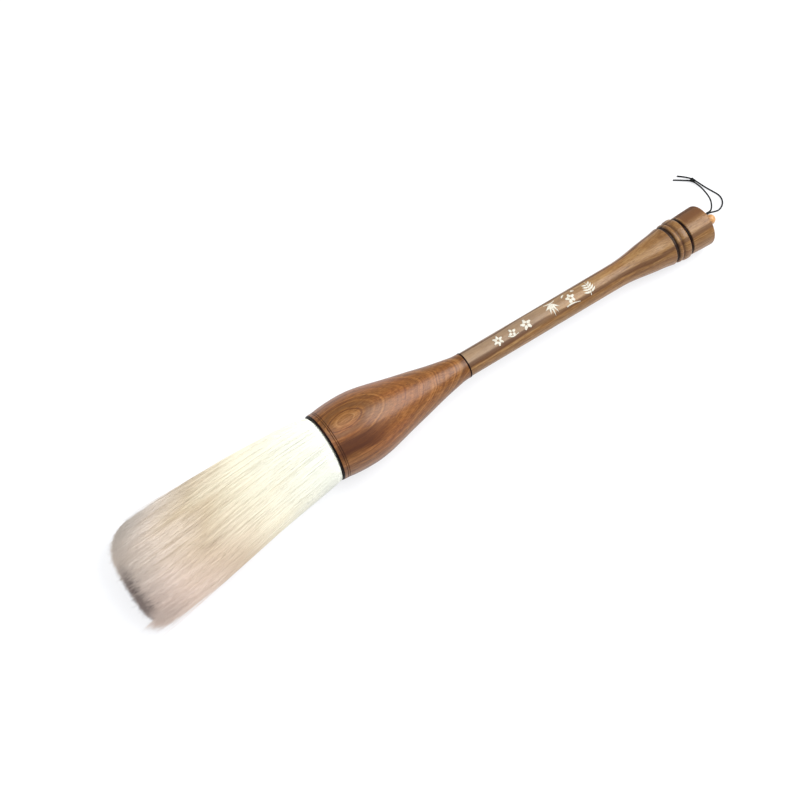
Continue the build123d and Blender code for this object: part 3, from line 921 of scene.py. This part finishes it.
paint = mark_paint()
mark_pieces = [wrapped(name, station, strokes, size) for name, station, strokes, size in MARKS]
for piece in mark_pieces:
    piece.data.materials.append(paint)
    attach(piece, "handle")
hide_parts("filled_marks")
print("marks:", [piece.name for piece in mark_pieces])

# %% [markdown]
# ## The hanging cord
# One thin waxed cord turns round the neck of the knob, both strands run to a knot, and two bare
# tails stick out of it. A cord is a smooth line first: a NURBS spline with listed points. The
# braided tube is then laid along the line that the spline gives.

# %% Routes of the two strands
CORD_D = 1.0 * MM
FLOOR = 0.55
TURN_R = 2.08 * MM
upper = TURN + TURN_R * UP
lower = TURN - TURN_R * UP
LEFT_ROUTE = [
    (281.7, 2.4, 15.3), (284.2, 4.3, 15.0), (289.3, 4.5, 13.4), (293.8, 8.2, 10.5),
    (298.4, 14.0, 7.0), (301.4, 22.4, 3.0), (302.0, 28.6, 1.2), (300.5, 33.4, 1.5),
    (296.9, 36.8, 0.9), (294.0, 39.2, FLOOR), (291.1, 41.2, FLOOR),
]
RIGHT_ROUTE = [
    (281.6, 2.6, 11.15), (284.2, 4.7, 10.6), (289.2, 5.4, 10.4), (294.0, 4.8, 8.3),
    (298.8, 5.4, 5.0), (304.2, 8.0, 2.0), (307.6, 11.4, 0.8), (308.6, 15.6, FLOOR),
    (307.0, 20.0, FLOOR), (305.2, 24.4, 0.6), (303.4, 29.4, 1.0), (301.6, 34.5, 1.5),
    (298.6, 38.9, 0.9), (295.0, 42.2, FLOOR),
]
print("the cord turns round the neck at", np.round(TURN, 4))

# %% [markdown]
# ## A line without corners
# Straight runs between the points would look like bent wire. A NURBS spline rounds every corner
# and still starts and ends exactly at the first and last point. A curve object is made for a
# moment, its points are read, and it is deleted again.


# %% The points of a spline
def smooth_line(name, start, route):
    """The points of a NURBS spline whose control points are the start and the route."""
    curve = bpy.data.curves.new(name, "CURVE")
    curve.dimensions = "3D"
    spline = curve.splines.new("NURBS")
    spline.points.add(len(route))
    places = [tuple(start)] + [(MOUTH[0] + x * MM, y * MM, z * MM) for x, y, z in route]
    for point, place in zip(spline.points, places):
        point.co = (*place, 1.0)
    spline.order_u = 3
    spline.use_endpoint_u = True
    spline.resolution_u = 16
    holder = bpy.data.objects.new(name, curve)
    bpy.context.scene.collection.objects.link(holder)
    bpy.context.view_layer.update()
    mesh = bpy.data.meshes.new_from_object(holder)
    line = np.empty(len(mesh.vertices) * 3)
    mesh.vertices.foreach_get("co", line)
    bpy.data.objects.remove(holder)
    return line.reshape(-1, 3)

# %% [markdown]
# ## The braid
# Thin cord is plaited, so its outline ripples. Each strand of the plait would cost many faces for
# a millimetre of thickness. A ripple of the radius that crosses both ways looks the same.


# %% The braided tube
def braided(name, line, guide, sides=16):
    """A round tube whose radius ripples like a plait: r x (1.03 + 0.05 cos cos)."""
    step = np.linalg.norm(np.diff(line, axis=0), axis=1)
    run = np.concatenate([[0.0], np.cumsum(step)])
    even = np.arange(0.0, run[-1], 0.16 * MM)
    even[-1] = run[-1]
    path = np.stack([np.interp(even, run, line[:, k]) for k in range(3)], -1)
    half = np.full(len(path), CORD_D / 2)
    rings = tube_points(path, half, half, guide, sides)
    turn = np.arange(sides)[None] * 2 * math.pi / sides
    pitch = even[:, None] / (1.3 * MM) * 2 * math.pi
    ripple = 0.05 * np.cos(2 * turn + pitch) * np.cos(2 * turn - pitch)
    rings = path[:, None] + (rings - path[:, None]) * (1.03 + ripple)[..., None]
    uv = np.stack([np.broadcast_to(turn / (2 * math.pi), ripple.shape),
                   np.broadcast_to(even[:, None] / CORD_D, ripple.shape)], -1)
    piece = mesh_piece(name, rings.reshape(-1, 3), ring_faces(len(path), sides),
                       uv.reshape(-1, 2))
    return piece, path

# %% [markdown]
# ## Waxed cotton
# The cord is dyed black and waxed: dark, a little uneven and duller than the wood. Its threads
# follow the UV map, which runs round and along the cord.


# %% The finish of the cord
def cord_finish():
    """Waxed black cotton: dark threads slanting round the cord, with a dull shine."""
    f = Finish("waxed_cotton", **{"Roughness": 0.6, "Specular IOR Level": 0.2})
    run = f.node("ShaderNodeUVMap", {"uv_map": "run"}).outputs["UV"]
    thread = f.noise(run, (14.0, 5.0, 1.0), 2.0)
    f.feed(f.shader.inputs["Base Color"], f.ramp(thread, [
        (0.3, (0.0015, 0.002, 0.002)), (0.7, (0.007, 0.009, 0.009))]))
    f.feed(f.shader.inputs["Roughness"], 0.5 + 0.3 * thread)
    f.bump(thread, 0.00005, 0.6)
    return f.material

# %% [markdown]
# ## Strands and turn
# The strands leave the neck above and below it, where the half turn ends. The half turn is an arc
# about the axis of the brush.

# %% Strands and turn in place
VERTICAL = np.array([0.0, 0.0, 1.0])
left_cord, left_line = braided("left_strand", smooth_line("left", upper, LEFT_ROUTE), VERTICAL)
right_cord, right_line = braided("right_strand", smooth_line("right", lower, RIGHT_ROUTE), VERTICAL)
half_turn = np.linspace(0.0, math.pi, 60)
neck_line = on_brush(TURN_STATION, TURN_R, -half_turn)
neck_turn, _ = braided("neck_turn", neck_line, ALONG)
print("points along the cord:", len(left_line), len(neck_line), len(right_line))

# %% [markdown]
# ## The knot
# An overhand knot pulled tight is a small round tangle. The trefoil is that knot as a closed
# formula, so a short thick trefoil in the same cord, squeezed to size, reads as the real one.

# %% The knot
KNOT_MIDDLE = np.array([MOUTH[0] + 301.05 * MM, 33.85 * MM, 1.47 * MM])
KNOT_ALONG = np.array([-0.62, 0.78, 0.0]) / math.hypot(0.62, 0.78)
KNOT_ACROSS = np.cross(VERTICAL, KNOT_ALONG)


def trefoil(t):
    """(sin t + 2 sin 2t, cos t - 2 cos 2t, -sin 3t), squeezed to the knot's three half sizes."""
    a = (np.sin(t) + 2 * np.sin(2 * t)) * 0.50 * MM
    b = (np.cos(t) - 2 * np.cos(2 * t)) * 0.32 * MM
    c = -np.sin(3 * t) * 0.72 * MM
    return (KNOT_MIDDLE + a[:, None] * KNOT_ALONG + b[:, None] * KNOT_ACROSS
            + c[:, None] * VERTICAL)


def knot_piece():
    """A tube round the closed trefoil, its last ring joined to its first."""
    count, sides = 240, 14
    t = np.arange(count) * 2 * math.pi / count
    path = trefoil(t)
    tangent = np.roll(path, -1, axis=0) - np.roll(path, 1, axis=0)
    tangent /= np.linalg.norm(tangent, axis=1, keepdims=True)
    outward = path - KNOT_MIDDLE
    normal = outward - (outward * tangent).sum(1, keepdims=True) * tangent
    normal /= np.linalg.norm(normal, axis=1, keepdims=True)
    other = np.cross(tangent, normal)
    turn = np.arange(sides) * 2 * math.pi / sides
    ring = np.cos(turn)[:, None] * normal[:, None] + np.sin(turn)[:, None] * other[:, None]
    right_twist = np.cos(2 * turn[None] + 40 * t[:, None])
    left_twist = np.cos(2 * turn[None] - 40 * t[:, None])
    ripple = 1.03 + 0.05 * right_twist * left_twist
    points = path[:, None] + CORD_D / 2 * ripple[..., None] * ring
    i, j = np.meshgrid(np.arange(count), np.arange(sides), indexing="ij")
    after, beside = (i + 1) % count, (j + 1) % sides
    quads = np.stack([i * sides + j, i * sides + beside, after * sides + beside,
                      after * sides + j], -1).reshape(-1, 4)
    uv = np.stack(np.broadcast_arrays(turn[None] / 6.28, t[:, None] * 4), -1).reshape(-1, 2)
    return mesh_piece("overhand_knot", points.reshape(-1, 3), [quads], uv)


knot = knot_piece()
waxed = cord_finish()
for piece, node_name in ((left_cord, "hang_cord_left"), (right_cord, "hang_cord_right"),
                         (neck_turn, "cord_neck_turn"), (knot, "cord_knot")):
    piece.data.materials.append(waxed)
    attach(piece, "loop")
    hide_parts(node_name)
left_length = float(np.linalg.norm(np.diff(left_line, axis=0), axis=1).sum())
right_length = float(np.linalg.norm(np.diff(right_line, axis=0), axis=1).sum())
print("strands:", round(left_length, 4), round(right_length, 4), "m")

# %% [markdown]
# ## Table and light
# The brush lies on a plain pale table that glows a little, as a light table does, so that its
# shadows stay faint. A dim surround sets the level, one softbox beyond the cap draws the long
# sheen on the wood, and one above fills the rest.


# %% Table, surround and softboxes
def pale_table():
    """Pale grey with faint clouds. The glow lifts it nearly to the white of the surround."""
    f = Finish("pale_table", **{"Roughness": 0.8, "Specular IOR Level": 0.2,
                                "Emission Color": (0.97, 0.98, 1.0), "Emission Strength": 0.72})
    grain = f.noise(f.place(), (40.0, 40.0, 40.0), 2.0)
    f.feed(f.shader.inputs["Base Color"], f.ramp(grain, [
        (0.3, (0.28, 0.28, 0.285)), (0.7, (0.30, 0.30, 0.305))]))
    return f.material


TABLE_HALF = 2.5
TABLE_CORNERS = TABLE_HALF * np.array([[-1, -1, 0], [1, -1, 0], [1, 1, 0], [-1, 1, 0]])
table = mesh_piece("table", TABLE_CORNERS, [np.array([[0, 1, 2, 3]])])
table.data.materials.append(pale_table())

world = bpy.data.worlds.new("surround")
world.use_nodes = True
background = world.node_tree.nodes["Background"]
background.inputs["Color"].default_value = (0.97, 0.98, 1.0, 1.0)
background.inputs["Strength"].default_value = 0.42
bpy.context.scene.world = world
bpy.context.scene.view_settings.view_transform = "Standard"


def softbox(name, place, size, watts):
    """A square area light turned to face the origin: down by its pitch, round by its yaw."""
    data = bpy.data.lights.new(name, "AREA")
    data.energy = watts
    data.size = size
    lamp = bpy.data.objects.new(name, data)
    bpy.context.scene.collection.objects.link(lamp)
    lamp.location = place
    x, y, z = place
    pitch = math.atan2(z, math.hypot(x, y))
    lamp.rotation_euler = (0.0, pitch - math.pi / 2, math.atan2(-y, -x))


softbox("key", (0.95, -0.25, 1.08), 1.1, 24.0)
softbox("top", (-0.25, 0.10, 1.50), 1.4, 12.0)
